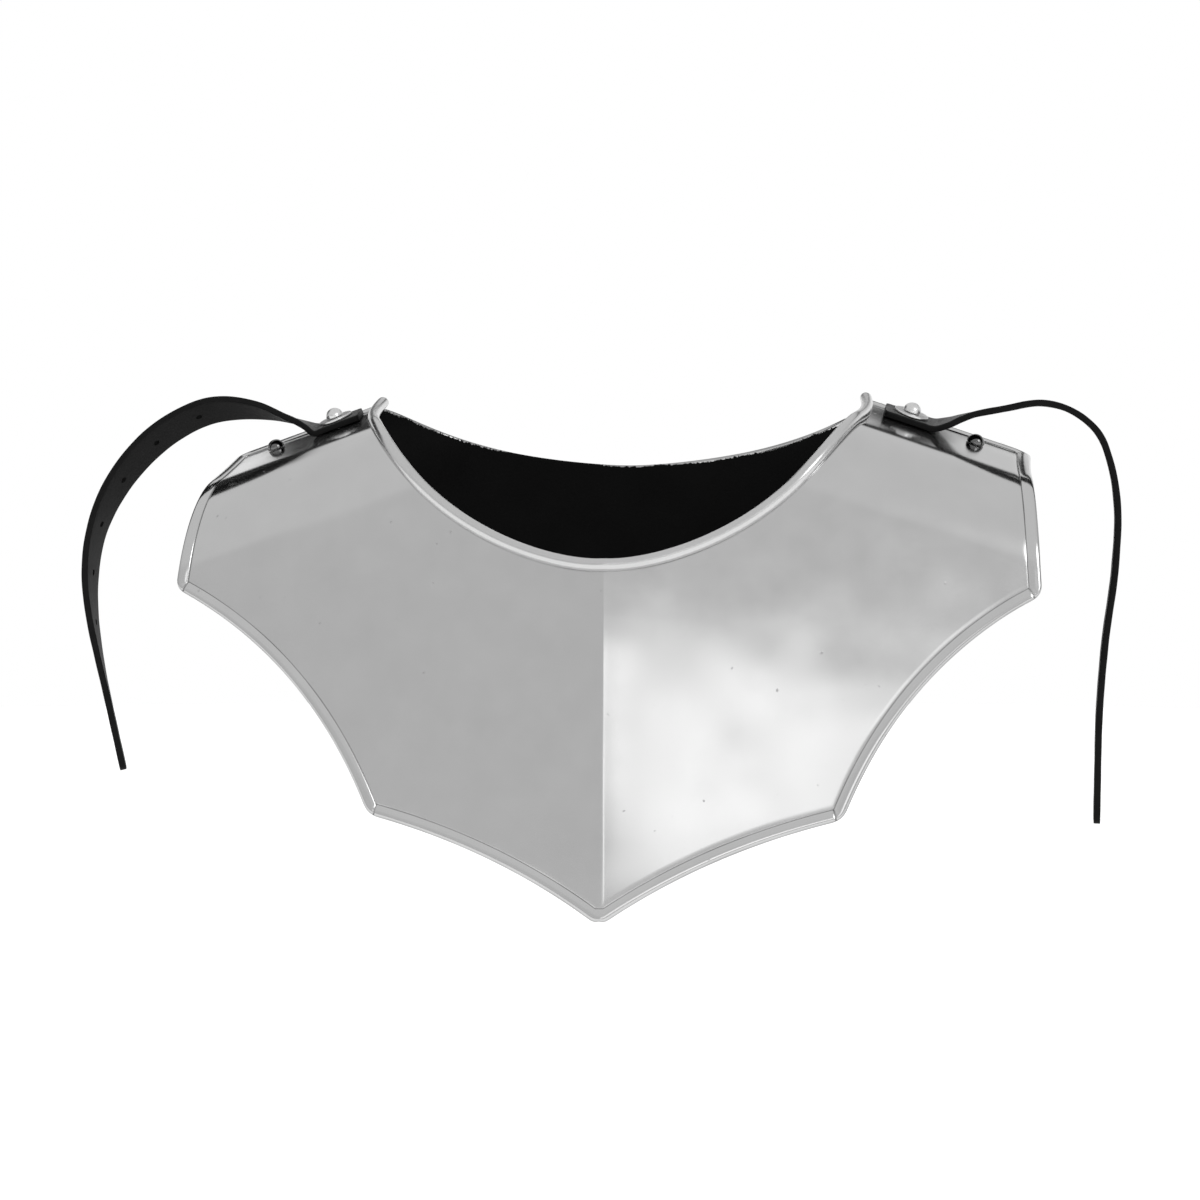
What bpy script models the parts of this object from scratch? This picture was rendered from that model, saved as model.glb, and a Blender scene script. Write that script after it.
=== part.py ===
"""Steel gorget: a keeled breast plate and a plain nape plate riveted over the shoulders, with two leather straps.

Metres, +Z up. The wearer faces -Y and has the left side at +X. The origin lies in the middle of the neck
opening, between the shoulders, level with the stretch where the plates bear on them.

A plate is one bent sheet. A place on it is (x, s): x runs across, and s is the length along the sheet from the
seam on top of the shoulder, forward and down on the front plate, backward and down on the back plate.
"""

import math
from collections import namedtuple

import bmesh
import bpy
import numpy as np

# Sheet, leather and the clearance between neighbours
SHEET = 0.0012
LEATHER = 0.0030
GAP = 0.0003

# Shoulders, which both plates follow
HALF_WIDTH = 0.1910
NECK_HALF = 0.1170
SEAM_HEIGHT = 0.0102
SHOULDER_FALL = math.radians(19.0)
CROWN_TILT = math.radians(19.0)
PLAN_SWEEP = 0.02

# Front plate, measured along the sheet from the seam
FRONT_LENGTH = 0.3245
FRONT_NECK = 0.1716
CROWN_RUN = 0.0520
FRONT_BEND = 0.0500
FACE_LEAN = math.radians(7.2)
KEEL_HEIGHT = 0.0030
KEEL_WIDTH = 0.0250

# Back plate, measured along the sheet from the seam
BACK_SIDE_INSET = 0.0040
BACK_LENGTH = 0.2200
BACK_NECK = 0.0926
BACK_CROWN = 0.0040
BACK_BEND = 0.0450
BACK_LEAN = math.radians(12.0)
TONGUE = 0.0280
TONGUE_INSET = 0.0015
SEAM_CLEAR = 0.0018

# Edges: a roll round the front neckline, flat hems on the others
ROLL_RADIUS = 0.00215
ROLL_END = math.radians(205.0)
HEM_WIDTH = 0.0053
HEM_STEP = 0.0004
HEM_ROUND = 0.0006

# Rivets and washers
RIVET_INSET = 0.0155
STRAP_RIVET_SHARE = 0.27
SHOULDER_RIVET_SHARE = 0.69
STRAP_RIVET_OUT = NECK_HALF + STRAP_RIVET_SHARE * (HALF_WIDTH - NECK_HALF)
SHOULDER_RIVET_OUT = NECK_HALF + SHOULDER_RIVET_SHARE * (HALF_WIDTH - NECK_HALF)
SHANK_RADIUS = 0.0020
DOME_RADIUS = 0.0042
DOME_HEIGHT = 0.0042
TAIL_RADIUS = 0.0034
TAIL_HEIGHT = 0.0013
WASHER_RADIUS = 0.0083
WASHER_THICKNESS = 0.0010
ROUND_SIDES = 16
DOME_RINGS = 4

# Straps
STRAP_WIDTH = 0.0190
STRAP_OVERHANG = 0.0115
STRAP_GRIP = 0.0100
STRAP_TIP = 0.0250
STRAP_RISE = 0.10
LEFT_REACH = 0.0942
LEFT_DROP = 0.1894
LEFT_LEAD = 0.0100
RIGHT_REACH = 0.1142
RIGHT_DROP = 0.1683
RIGHT_LEAD = 0.0264
STRAP_STEPS = 44
HOLE_RADIUS = 0.0015
HOLE_FIRST = 0.0700
HOLE_PITCH = 0.0240
HOLE_COUNT = 6

# Meshes
ROLL_STEPS = 8
MIDDLE_ROWS = 5
EDGE_COLUMNS = 9

Corner = namedtuple("Corner", "across along bow rib lean skew", defaults=(0.0, 0.0))
# across is a share of the half width and along of the plate's length, hidden edge included; bow is how far the
# edge that leads to the corner curves in, a share of its chord; rib is the share of the neckline where the line
# to that corner starts. The hand-made plate is uneven: lean and skew are added to across and along on the left
# side and taken off them on the right.
FRONT_CORNERS = (
    Corner(across=0.000, along=1.000, bow=0.000, rib=0.00),
    Corner(across=0.539, along=0.757, bow=0.034, rib=0.34),
    Corner(across=1.005, along=0.359, bow=0.066, rib=0.66, lean=-0.018, skew=0.008),
    Corner(across=1.000, along=0.000, bow=0.024, rib=1.00),
)
BACK_CORNERS = (
    Corner(across=0.000, along=1.000, bow=0.000, rib=0.00),
    Corner(across=0.930, along=0.440, bow=-0.200, rib=0.45),
    Corner(across=1.000, along=0.000, bow=0.000, rib=1.00),
)

Control = namedtuple("Control", "across along")
# The control points of the necklines, where the front sheet turns up into its roll and where the back sheet is
# folded: shares of the neck's half width and of its length along the sheet.
FRONT_NECKLINE = (Control(0.0, 1.0), Control(0.291, 0.938), Control(1.044, 0.570), Control(1.0, 0.0))
BACK_NECKLINE = (Control(0.0, 1.0), Control(0.368, 1.0), Control(1.294, 0.753), Control(1.0, 0.0))

Station = namedtuple("Station", "out down ahead twist")
Strap = namedtuple("Strap", "side reach drop ahead spread stations")
# out, down and ahead are shares of the strap's reach, drop and lead from its rivet; twist turns the strap's front
# edge up and outward, in degrees; spread is how far its width points outward of straight back, in degrees.
STRAPS = (
    Strap(side=1, reach=LEFT_REACH, drop=LEFT_DROP, ahead=LEFT_LEAD, spread=9.6, stations=(
        Station(out=0.200, down=0.013, ahead=0.15, twist=-8.0),
        Station(out=0.264, down=0.002, ahead=0.24, twist=-3.0),
        Station(out=0.458, down=-0.017, ahead=0.44, twist=0.0),
        Station(out=0.648, down=-0.029, ahead=0.64, twist=0.0),
        Station(out=0.742, down=-0.018, ahead=0.74, twist=0.0),
        Station(out=0.835, down=0.009, ahead=0.84, twist=0.0),
        Station(out=0.906, down=0.046, ahead=0.94, twist=0.0),
        Station(out=0.968, down=0.125, ahead=0.94, twist=0.0),
        Station(out=0.998, down=0.222, ahead=0.94, twist=0.0),
        Station(out=0.991, down=0.367, ahead=0.84, twist=0.0),
        Station(out=0.945, down=0.562, ahead=0.64, twist=0.0),
        Station(out=0.920, down=0.757, ahead=0.44, twist=0.0),
        Station(out=0.917, down=0.868, ahead=0.34, twist=0.0),
    )),
    Strap(side=-1, reach=RIGHT_REACH, drop=RIGHT_DROP, ahead=RIGHT_LEAD, spread=21.5, stations=(
        Station(out=0.150, down=0.003, ahead=0.06, twist=-5.0),
        Station(out=0.209, down=-0.010, ahead=0.13, twist=1.0),
        Station(out=0.349, down=-0.033, ahead=0.32, twist=21.0),
        Station(out=0.505, down=-0.029, ahead=0.55, twist=36.0),
        Station(out=0.661, down=0.024, ahead=0.77, twist=40.0),
        Station(out=0.822, down=0.128, ahead=0.92, twist=38.0),
        Station(out=0.910, down=0.222, ahead=1.00, twist=32.0),
        Station(out=0.975, down=0.335, ahead=1.00, twist=23.0),
        Station(out=1.000, down=0.448, ahead=0.96, twist=17.0),
        Station(out=0.994, down=0.562, ahead=0.92, twist=9.5),
        Station(out=0.968, down=0.676, ahead=0.89, twist=3.5),
        Station(out=0.935, down=0.790, ahead=0.85, twist=0.0),
        Station(out=0.917, down=0.851, ahead=0.82, twist=0.0),
    )),
)


def clear_scene():
    for old in list(bpy.data.objects):
        bpy.data.objects.remove(old, do_unlink=True)


def material(name, colour, metallic, roughness):
    made = bpy.data.materials.new(name)
    made.use_nodes = True
    shader = made.node_tree.nodes["Principled BSDF"]
    shader.inputs["Base Color"].default_value = (*colour, 1.0)
    shader.inputs["Metallic"].default_value = metallic
    shader.inputs["Roughness"].default_value = roughness
    return made


def unit(vectors):
    return vectors / np.linalg.norm(vectors, axis=-1, keepdims=True)


# The two sheets


def bent_run(s, start, first, last, radius):
    """Run and drop after the length s of a line that is bent once, from heading first to heading last, at start."""
    arc = radius * (last - first)
    before = np.minimum(s, start)
    turned = first + np.clip(s - start, 0.0, arc) / radius
    after = np.maximum(s - start - arc, 0.0)
    run = before * math.cos(first) + radius * (np.sin(turned) - math.sin(first)) + after * math.cos(last)
    drop = before * math.sin(first) + radius * (math.cos(first) - np.cos(turned)) + after * math.sin(last)
    return run, drop


def front_sheet(x, s):
    """Middle of the front sheet: a bent run carried outward down the shoulder, with a keel on the centre line."""
    out = np.abs(x)
    run, drop = bent_run(s, CROWN_RUN, CROWN_TILT, math.pi / 2 - FACE_LEAN, FRONT_BEND)
    y = PLAN_SWEEP * (out - NECK_HALF) - KEEL_HEIGHT * np.exp(-out / KEEL_WIDTH) - run
    z = SEAM_HEIGHT - math.tan(SHOULDER_FALL) * (out - NECK_HALF) - drop
    return np.stack([x, y, z], axis=-1)


def crown_up():
    """The share of a step off the shoulder plane that goes straight up."""
    slope = PLAN_SWEEP * math.sin(CROWN_TILT) + math.tan(SHOULDER_FALL) * math.cos(CROWN_TILT)
    return math.cos(CROWN_TILT) / math.hypot(slope, 1.0)


def back_sheet(x, s):
    """Middle of the back sheet: it starts flat under the front sheet's crown and is rounded across the nape."""
    out = np.where(np.abs(x) < NECK_HALF, (x * x + NECK_HALF**2) / (2 * NECK_HALF), np.abs(x))
    run, drop = bent_run(s, BACK_CROWN, -CROWN_TILT, math.pi / 2 - BACK_LEAN, BACK_BEND)
    y = PLAN_SWEEP * (out - NECK_HALF) + run
    under = (SHEET + GAP) / crown_up()
    z = SEAM_HEIGHT - under - math.tan(SHOULDER_FALL) * (out - NECK_HALF) - drop
    return np.stack([x, y, z], axis=-1)


def slopes(sheet, places):
    """The sheet's two tangents, for a step across and a step along, at places (n, 2)."""
    small = 1e-5
    x, s = places[..., 0], places[..., 1]
    across = (sheet(x + small, s) - sheet(x - small, s)) / (2 * small)
    along = (sheet(x, s + small) - sheet(x, s - small)) / (2 * small)
    return across, along


def upward(sheet, places):
    """Unit normal on the sheet's outer side."""
    across, along = slopes(sheet, places)
    normal = unit(np.cross(along, across))
    return normal * np.sign(normal[..., 2:3] + 1e-9)


def inward(sheet, edge, middle):
    """Mitred vectors in the sheet that step one metre in from the edge, toward the row of places middle."""
    points = sheet(edge[:, 0], edge[:, 1])
    normal = upward(sheet, edge)
    legs = np.diff(points, axis=0)
    before = np.concatenate([legs[:1], legs])
    after = np.concatenate([legs, legs[-1:]])
    toward = sheet(middle[:, 0], middle[:, 1]) - points
    sides = []
    for leg in (before, after):
        side = unit(np.cross(normal, leg))
        sides.append(side * np.sign((side * toward).sum(axis=1, keepdims=True)))
    return (sides[0] + sides[1]) / (1.0 + (sides[0] * sides[1]).sum(axis=1, keepdims=True))


def stepped(sheet, edge, vectors):
    """The places reached from the edge by steps given as vectors in space."""
    across, along = slopes(sheet, edge)
    aa, ab, bb = ((u * v).sum(axis=1) for u, v in ((across, across), (across, along), (along, along)))
    a, b = (across * vectors).sum(axis=1), (along * vectors).sum(axis=1)
    share = aa * bb - ab * ab
    return edge + np.stack([(a * bb - b * ab) / share, (b * aa - a * ab) / share], axis=1)


# Outlines, as places on a sheet


def bezier(controls, width, length, shares):
    """Places at the given shares of the length of a Bezier curve."""
    t = np.linspace(0.0, 1.0, 400)[:, None]
    last = len(controls) - 1
    curve = sum(
        math.comb(last, k) * (1 - t) ** (last - k) * t**k * np.array([c.across * width, c.along * length])
        for k, c in enumerate(controls)
    )
    lengths = np.concatenate([[0.0], np.cumsum(np.linalg.norm(np.diff(curve, axis=0), axis=1))])
    return np.stack([np.interp(shares * lengths[-1], lengths, curve[:, i]) for i in (0, 1)], axis=1)


def bowed(start, end, bow, shares):
    """Places along an edge that curves in by a share of its chord."""
    chord = end - start
    into = np.array([chord[1], -chord[0]])
    return start + shares[:, None] * chord + (4 * bow * shares * (1 - shares))[:, None] * into


def half_edges(side, corners, neckline, width, length, neck_half, neck_length, seams):
    """Matching places on the outline and the neckline, from the centre line out to the columns beside the seam."""
    ends = np.array([[c.across + side * c.lean, c.along + side * c.skew] for c in corners]) * (width, length)
    ends[-1, 1] = seams[0]
    shares = np.linspace(0.0, 1.0, EDGE_COLUMNS + 1)[:-1]
    outer = [bowed(a, b, last.bow, shares) for a, b, last in zip(ends, ends[1:], corners[1:])]
    ribs = [a.rib + (b.rib - a.rib) * shares for a, b in zip(corners, corners[1:])]
    outer = np.concatenate(outer + [np.stack([np.full(len(seams), width), seams], axis=1)])
    evenly = np.linspace(0.0, 1.0, 200)
    across, along = bezier(neckline, neck_half, neck_length, evenly)[::-1].T
    beside_seam = np.stack([np.interp(seams, along, across), seams], axis=1)
    ribs = np.concatenate(ribs) * np.interp(seams[0], along, evenly[::-1])
    return outer, np.concatenate([bezier(neckline, neck_half, neck_length, ribs), beside_seam])


def edges(*sizes):
    """The matching outlines of both halves, from the right shoulder to the left."""
    right, left = half_edges(-1, *sizes), half_edges(1, *sizes)
    return [np.concatenate([r[:0:-1] * (-1.0, 1.0), l]) for r, l in zip(right, left)]


# Solids from grids and profiles


def solid(name, vertices, faces, look):
    """One object with its origin at the world's, and its faces turned outward."""
    mesh = bpy.data.meshes.new(name)
    mesh.from_pydata([tuple(v) for v in vertices], [], faces)
    work = bmesh.new()
    work.from_mesh(mesh)
    bmesh.ops.recalc_face_normals(work, faces=work.faces)
    work.to_mesh(mesh)
    work.free()
    mesh.shade_smooth()
    mesh.set_sharp_from_angle(angle=math.radians(35))
    mesh.materials.append(look)
    made = bpy.data.objects.new(name, mesh)
    bpy.context.scene.collection.objects.link(made)
    return made


def grid_faces(rows, columns, first):
    return [
        (first + r * columns + c, first + r * columns + c + 1,
         first + (r + 1) * columns + c + 1, first + (r + 1) * columns + c)
        for r in range(rows - 1)
        for c in range(columns - 1)
    ]


def skinned(name, upper, lower, look):
    """A closed wall between two grids of points with the same rows and columns."""
    rows, columns = upper.shape[:2]
    count = rows * columns
    index = np.arange(count).reshape(rows, columns)
    rim = np.concatenate([index[0], index[1:, -1], index[-1, -2::-1], index[-2::-1, 0]])
    faces = grid_faces(rows, columns, 0) + grid_faces(rows, columns, count)
    faces += [(int(a), int(b), int(b) + count, int(a) + count) for a, b in zip(rim, rim[1:])]
    return solid(name, np.concatenate([upper.reshape(-1, 3), lower.reshape(-1, 3)]), faces, look)


def turned(name, profile, base, axis, look):
    """A solid of revolution: profile rows are (radius, height) from one pole to the other."""
    axis = unit(axis)
    side = unit(np.cross(axis, (0.0, 1.0, 0.0)))
    other = np.cross(axis, side)
    angles = np.linspace(0.0, 2 * math.pi, ROUND_SIDES, endpoint=False)
    circle = np.cos(angles)[:, None] * side + np.sin(angles)[:, None] * other
    rings = [base + axis * height + circle * radius for radius, height in profile]
    faces = []
    for ring in range(len(rings) - 1):
        for k in range(ROUND_SIDES):
            n = (k + 1) % ROUND_SIDES
            low, high = ring * ROUND_SIDES, (ring + 1) * ROUND_SIDES
            faces.append((low + k, low + n, high + n, high + k))
    faces.append(tuple(range(ROUND_SIDES)))
    faces.append(tuple(range((len(rings) - 1) * ROUND_SIDES, len(rings) * ROUND_SIDES)))
    return solid(name, np.concatenate(rings), faces, look)


def drilled(target, base, axis, radius, reach):
    """Cuts a round hole of the given radius along the axis, half the reach to each side of base."""
    axis = unit(axis)
    profile = ((radius, -reach / 2), (radius, reach / 2))
    cutter = turned(f"cut_{target.name}_{len(target.modifiers)}", profile, base, axis, target.data.materials[0])
    cutter.hide_render = True
    cutter.display_type = "WIRE"
    cut = target.modifiers.new("hole", "BOOLEAN")
    cut.operation = "DIFFERENCE"
    cut.solver = "EXACT"
    cut.object = cutter


# Plates


def front_plate(look):
    """The breast plate: its neckline rolled outward, its other edges folded flat onto the face."""
    edge = np.array([HEM_WIDTH + HEM_STEP, HEM_WIDTH, HEM_ROUND, 0.0])
    outer, neck = edges(FRONT_CORNERS, FRONT_NECKLINE, HALF_WIDTH, FRONT_LENGTH, NECK_HALF, FRONT_NECK, edge)
    into_neck = inward(front_sheet, neck, outer)
    into_outer = inward(front_sheet, outer, neck)
    clear = ROLL_RADIUS + SHEET / 2 + GAP
    near = [stepped(front_sheet, neck, into_neck * d) for d in (0.0, clear, clear + HEM_STEP)]
    far = [stepped(front_sheet, outer, into_outer * d) for d in edge]
    shares = np.linspace(0.0, 1.0, MIDDLE_ROWS + 2)[1:-1]
    middle = [near[-1] + (far[0] - near[-1]) * share for share in shares]
    places = np.stack(near + middle + far)

    raised = np.zeros(places.shape[:2])
    raised[-3:-1] = SHEET
    raised[2:, :3] = raised[2:, -3:] = SHEET
    raised[-1] = SHEET / 2
    raised[2:, 0] = raised[2:, -1] = SHEET / 2
    normal = upward(front_sheet, places)
    middle_of_sheet = front_sheet(places[..., 0], places[..., 1])
    upper = middle_of_sheet + normal * (SHEET / 2 + raised[..., None])
    lower = middle_of_sheet - normal * (SHEET / 2)

    centre = middle_of_sheet[0] + normal[0] * ROLL_RADIUS
    opening = -unit(into_neck)
    angles = np.linspace(ROLL_END, -math.pi / 2, ROLL_STEPS + 1)[:-1, None, None]
    spoke = opening * np.cos(angles) + normal[0] * np.sin(angles)
    upper = np.concatenate([centre + spoke * (ROLL_RADIUS - SHEET / 2), upper])
    lower = np.concatenate([centre + spoke * (ROLL_RADIUS + SHEET / 2), lower])
    return skinned("front_plate", upper, lower, look)


def back_plate(look):
    """The nape plate: plain, hemmed, and tucked under the front plate along the shoulders."""
    length, neck_length = BACK_LENGTH + TONGUE, BACK_NECK + TONGUE
    columns = np.array([TONGUE + SEAM_CLEAR + HEM_STEP, TONGUE + SEAM_CLEAR, TONGUE / 2, 0.0])
    tongue_neck = NECK_HALF + TONGUE_INSET
    half = HALF_WIDTH - BACK_SIDE_INSET
    outer, neck = edges(BACK_CORNERS, BACK_NECKLINE, half, length, tongue_neck, neck_length, columns)
    outer, neck = outer - (0.0, TONGUE), neck - (0.0, TONGUE)
    into_neck = inward(back_sheet, neck, outer)
    into_outer = inward(back_sheet, outer, neck)
    edge = (0.0, HEM_ROUND, HEM_WIDTH, HEM_WIDTH + HEM_STEP)
    near = [stepped(back_sheet, neck, into_neck * d) for d in edge]
    far = [stepped(back_sheet, outer, into_outer * d) for d in edge[::-1]]
    shares = np.linspace(0.0, 1.0, MIDDLE_ROWS + 2)[1:-1]
    middle = [near[-1] + (far[0] - near[-1]) * share for share in shares]
    places = np.stack(near + middle + far)

    raised = np.zeros(places.shape[:2])
    raised[[1, 2, -3, -2]] = SHEET
    raised[[0, -1]] = SHEET / 2
    raised[:, :3] = raised[:, -3:] = 0.0
    normal = upward(back_sheet, places)
    middle_of_sheet = back_sheet(places[..., 0], places[..., 1])
    upper = middle_of_sheet + normal * (SHEET / 2 + raised[..., None])
    return skinned("back_plate", upper, middle_of_sheet - normal * (SHEET / 2), look)


# Rivets, washers and straps


def seat(side, out):
    """The middle of the front sheet over a rivet, and the normal there."""
    place = np.array([[side * out, RIVET_INSET]])
    return front_sheet(place[:, 0], place[:, 1])[0], upward(front_sheet, place)[0]


def rivet(name, side, out, under_head, look):
    """A dome head, a shank through both plates and a flat tail inside."""
    base, axis = seat(side, out)
    inside = -(SHEET / 2 + GAP + SHEET + GAP)
    tail = [(TAIL_RADIUS * 0.7, inside - TAIL_HEIGHT), (TAIL_RADIUS, inside - TAIL_HEIGHT / 2), (TAIL_RADIUS, inside)]
    shank = [(SHANK_RADIUS, inside), (SHANK_RADIUS, under_head)]
    angles = [math.pi / 2 * ring / DOME_RINGS for ring in range(DOME_RINGS)]
    dome = [(DOME_RADIUS * math.cos(a), under_head + DOME_HEIGHT * math.sin(a)) for a in angles]
    return turned(name, tail + shank + dome, base, axis, look)


def washer(name, side, look):
    base, axis = seat(side, STRAP_RIVET_OUT)
    low = SHEET / 2 + GAP + LEATHER + GAP
    high = low + WASHER_THICKNESS
    bore = SHANK_RADIUS + GAP
    profile = ((bore, low), (WASHER_RADIUS, low), (WASHER_RADIUS, high), (bore, high), (bore, low))
    axis = unit(axis)
    across = unit(np.cross(axis, (0.0, 1.0, 0.0)))
    angles = np.linspace(0.0, 2 * math.pi, ROUND_SIDES, endpoint=False)
    circle = np.cos(angles)[:, None] * across + np.sin(angles)[:, None] * np.cross(axis, across)
    rings = [base + axis * height + circle * radius for radius, height in profile[:-1]]
    faces = []
    for ring in range(4):
        low_ring, high_ring = ring * ROUND_SIDES, (ring + 1) % 4 * ROUND_SIDES
        for k in range(ROUND_SIDES):
            n = (k + 1) % ROUND_SIDES
            faces.append((low_ring + k, low_ring + n, high_ring + n, high_ring + k))
    return solid(name, np.concatenate(rings), faces, look)


def smooth_through(knots, steps):
    """A cubic with matched slopes through rows of knots, at equal steps of the length between them."""
    spans = np.linalg.norm(np.diff(knots[:, :3], axis=0), axis=1)
    where = np.concatenate([[0.0], np.cumsum(spans)])
    slope = np.gradient(knots, where, axis=0)
    at = np.linspace(0.0, where[-1], steps)
    i = np.clip(np.searchsorted(where, at, side="right") - 1, 0, len(spans) - 1)
    h = spans[i][:, None]
    t = ((at - where[i]) / spans[i])[:, None]
    return (
        (1 + 2 * t) * (1 - t) ** 2 * knots[i]
        + t * (1 - t) ** 2 * h * slope[i]
        + t * t * (3 - 2 * t) * knots[i + 1]
        + t * t * (t - 1) * h * slope[i + 1]
    )


def strap_course(strap):
    """Centre points and unit width directions, front edge to rear edge, from the neck end to the tip."""
    height = SHEET / 2 + GAP + LEATHER / 2
    seated = []
    for past in (-STRAP_OVERHANG, 0.0, STRAP_GRIP * 0.8, STRAP_GRIP):
        base, axis = seat(strap.side, STRAP_RIVET_OUT + past)
        seated.append(base + axis * height)
    rivet_point = seated[1]
    flat = unit(np.cross(axis, seated[-1] - seated[0])) * strap.side
    spread = math.radians(strap.spread)
    rest = unit(np.array([strap.side * math.sin(spread), math.cos(spread), STRAP_RISE]))
    free = [
        rivet_point + (strap.side * strap.reach * st.out, -strap.ahead * st.ahead, -strap.drop * st.down)
        for st in strap.stations
    ]
    centres = np.array(seated + free)
    heading = unit(np.gradient(centres, axis=0))
    widths = [flat] * len(seated)
    for row, st in zip(heading[len(seated):], strap.stations):
        level = unit(rest - row * (rest @ row))
        turn = math.radians(st.twist) * -strap.side
        widths.append(level * math.cos(turn) + np.cross(row, level) * math.sin(turn))
    course = smooth_through(np.concatenate([centres, np.array(widths)], axis=1), STRAP_STEPS)
    centres, widths = course[:, :3], course[:, 3:]
    end = unit(centres[-1] - centres[-2])
    centres = np.concatenate([centres, [centres[-1] + end * STRAP_TIP]])
    widths = np.concatenate([widths, widths[-1:]])
    heading = unit(np.gradient(centres, axis=0))
    heading[-2:] = end
    widths = unit(widths - heading * (widths * heading).sum(axis=1, keepdims=True))
    return centres, widths, np.cross(widths, heading) * strap.side


def strap_solid(name, strap, look):
    """A leather ribbon with punched holes, drilled for its rivet."""
    centres, widths, faces_up = strap_course(strap)
    half_width, half_thick = widths * STRAP_WIDTH / 2, faces_up * LEATHER / 2
    upper = np.stack([centres - half_width + half_thick, centres + half_width + half_thick])
    lower = np.stack([centres - half_width - half_thick, centres + half_width - half_thick])
    made = skinned(name, upper, lower, look)
    base, axis = seat(strap.side, STRAP_RIVET_OUT)
    drilled(made, base, axis, SHANK_RADIUS + GAP, 4 * LEATHER)
    lengths = np.concatenate([[0.0], np.cumsum(np.linalg.norm(np.diff(centres, axis=0), axis=1))])
    for hole in range(HOLE_COUNT):
        at = STRAP_OVERHANG + HOLE_FIRST + HOLE_PITCH * hole
        centre = np.array([np.interp(at, lengths, centres[:, i]) for i in range(3)])
        facing = np.array([np.interp(at, lengths, faces_up[:, i]) for i in range(3)])
        drilled(made, centre, facing, HOLE_RADIUS, 3 * LEATHER)
    return made


def build():
    clear_scene()
    steel = material("polished_steel", (0.62, 0.62, 0.63), 1.0, 0.15)
    rivet_steel = material("rivet_steel", (0.55, 0.55, 0.56), 1.0, 0.25)
    leather = material("black_leather", (0.015, 0.015, 0.016), 0.0, 0.5)

    front = front_plate(steel)
    back = back_plate(steel)
    top_of_plate = SHEET / 2 + GAP
    top_of_strap = top_of_plate + LEATHER + GAP + WASHER_THICKNESS + GAP
    for strap in STRAPS:
        hand = "left" if strap.side > 0 else "right"
        strap_solid(f"strap_{hand}", strap, leather)
        washer(f"strap_washer_{hand}", strap.side, rivet_steel)
        rivet(f"strap_rivet_{hand}", strap.side, STRAP_RIVET_OUT, top_of_strap, rivet_steel)
        rivet(f"shoulder_rivet_{hand}", strap.side, SHOULDER_RIVET_OUT, top_of_plate, rivet_steel)
        for out in (STRAP_RIVET_OUT, SHOULDER_RIVET_OUT):
            base, axis = seat(strap.side, out)
            for plate in (front, back):
                drilled(plate, base, axis, SHANK_RADIUS + GAP, 8 * SHEET)


build()
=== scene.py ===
"""Looks for the steel gorget: polished plates riveted over the shoulders, and two black leather straps.

Metres, +Z up, the wearer faces -Y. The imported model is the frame. Each plate, strap, washer and rivet of it
is shown by a finer piece, worked out here from the same sizes. The tip and the wearer's left crown follow
the photograph closer than the model does, by up to 4.2 mm. A place on a plate is (x, s): x runs across, and
s is the length along the sheet from the seam on top of the shoulder.
"""

import math
from collections import namedtuple

import bpy
import numpy as np
from mathutils import Matrix, Vector


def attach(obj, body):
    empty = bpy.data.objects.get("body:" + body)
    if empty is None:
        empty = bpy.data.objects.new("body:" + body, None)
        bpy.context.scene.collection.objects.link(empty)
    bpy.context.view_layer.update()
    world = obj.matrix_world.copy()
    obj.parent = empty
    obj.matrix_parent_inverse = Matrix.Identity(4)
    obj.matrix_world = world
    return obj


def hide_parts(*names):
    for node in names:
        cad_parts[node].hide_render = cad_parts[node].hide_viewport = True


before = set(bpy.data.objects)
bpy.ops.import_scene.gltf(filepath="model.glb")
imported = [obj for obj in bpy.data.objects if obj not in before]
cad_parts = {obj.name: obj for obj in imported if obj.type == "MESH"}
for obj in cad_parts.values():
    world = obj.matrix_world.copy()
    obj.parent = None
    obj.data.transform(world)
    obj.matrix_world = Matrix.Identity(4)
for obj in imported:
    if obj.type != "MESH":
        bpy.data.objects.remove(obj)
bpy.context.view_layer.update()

# Sheet, leather and clearances, as in the model
SHEET = 0.0012
LEATHER = 0.0030
GAP = 0.0003

# Shoulders
HALF_WIDTH = 0.1910
NECK_HALF = 0.1170
SEAM_HEIGHT = 0.0102
SHOULDER_FALL = math.radians(19.0)
CROWN_TILT = math.radians(19.0)
PLAN_SWEEP = 0.02

# Front plate
FRONT_LENGTH = 0.3245
FRONT_NECK = 0.1716
CROWN_RUN = 0.0520
FRONT_BEND = 0.0500
FACE_LEAN = math.radians(7.2)
KEEL_HEIGHT = 0.0030
KEEL_WIDTH = 0.0250
KEEL_ROUND = 0.0007

# Back plate
BACK_SIDE_INSET = 0.0040
BACK_LENGTH = 0.2200
BACK_NECK = 0.0926
BACK_CROWN = 0.0040
BACK_BEND = 0.0450
BACK_LEAN = math.radians(12.0)
TONGUE = 0.0280
TONGUE_INSET = 0.0015
TONGUE_FADE = 0.0030
SEAM_CLEAR = 0.0018

# The neck roll, and the stretch at each end over which it shrinks to a share of its size
ROLL_RADIUS = 0.00215
ROLL_END = math.radians(208.0)
ROLL_CAP = 0.0030
ROLL_CAP_SHARE = 0.60
LIP = ROLL_RADIUS + SHEET / 2
LIP_ROWS = LIP * np.array([0.0, 0.4, 0.8, 1.2])

# Hems, their corners and the lines where they meet
HEM_WIDTH = 0.0053
CORNER_ROUND = 0.0050
CROWN_ROUND = 0.0070
NOTCH_WIDTH = 0.00028
NOTCH_DEPTH = 0.0004
NOTCH_INSET = 0.0004
NOTCH_NEAR = 0.0003
NOTCH_REACH = 0.0065
# The painted shade line where a hem's raw edge meets the face: its distance from the edge and its width
GROOVE_AT = 0.0054
GROOVE_WIDTH = 0.00012
# How far in from a folded edge the painted shade on the hems' outer rims reaches
RIM_SHADE_WIDTH = 0.0008

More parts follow.
